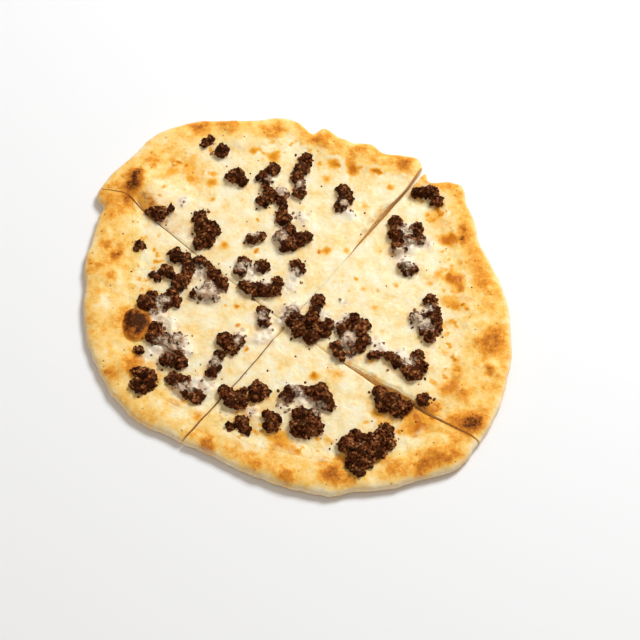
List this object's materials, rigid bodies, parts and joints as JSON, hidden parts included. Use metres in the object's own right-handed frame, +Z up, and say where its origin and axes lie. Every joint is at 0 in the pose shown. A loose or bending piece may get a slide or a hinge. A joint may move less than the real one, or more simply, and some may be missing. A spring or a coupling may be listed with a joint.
{
  "type": "cheese and sujuk manakish",
  "caption": "Round leavened flatbread with a toasted rim, melted white cheese and crumbled spiced sausage, cut into wedges that lie together.",
  "frame": {"origin": "centre of the bounding box in plan, at the flat underside of the bread", "axes": "+Z up, out of the topping; +X to the right and +Y away in the pictured view"},
  "size_m": [0.2932, 0.2896, 0.0165],
  "materials": {
    "crust": "matt baked crust, floury with toasted patches",
    "cheese": "satin melted cheese",
    "sujuk": "rough cooked mince, slightly greasy"
  },
  "bodies": {
    "root": {"bread_back": "crust", "bread_front": "crust", "bread_left": "crust", "bread_right": "crust", "cheese_back": "cheese", "cheese_front": "cheese", "cheese_left": "cheese", "cheese_right": "cheese", "sujuk_01": "sujuk", "sujuk_02": "sujuk", "sujuk_03": "sujuk", "sujuk_04": "sujuk", "sujuk_05": "sujuk", "sujuk_06": "sujuk", "sujuk_07": "sujuk", "sujuk_08": "sujuk", "sujuk_09": "sujuk", "sujuk_10": "sujuk", "sujuk_11": "sujuk", "sujuk_12": "sujuk", "sujuk_13": "sujuk", "sujuk_14": "sujuk", "sujuk_15": "sujuk", "sujuk_16": "sujuk", "sujuk_17": "sujuk", "sujuk_18": "sujuk", "sujuk_19": "sujuk", "sujuk_20": "sujuk", "sujuk_21": "sujuk", "sujuk_22": "sujuk", "sujuk_23": "sujuk", "sujuk_24": "sujuk", "sujuk_25": "sujuk", "sujuk_26": "sujuk", "sujuk_27": "sujuk", "sujuk_28": "sujuk", "sujuk_29": "sujuk", "sujuk_30": "sujuk", "sujuk_31": "sujuk", "sujuk_32": "sujuk", "sujuk_33": "sujuk", "sujuk_34": "sujuk", "sujuk_35": "sujuk", "sujuk_36": "sujuk", "sujuk_37": "sujuk", "sujuk_38": "sujuk", "sujuk_39": "sujuk", "sujuk_40": "sujuk", "sujuk_41": "sujuk", "sujuk_42": "sujuk", "sujuk_43": "sujuk", "sujuk_44": "sujuk", "sujuk_45": "sujuk"}
  },
  "joints": []
}
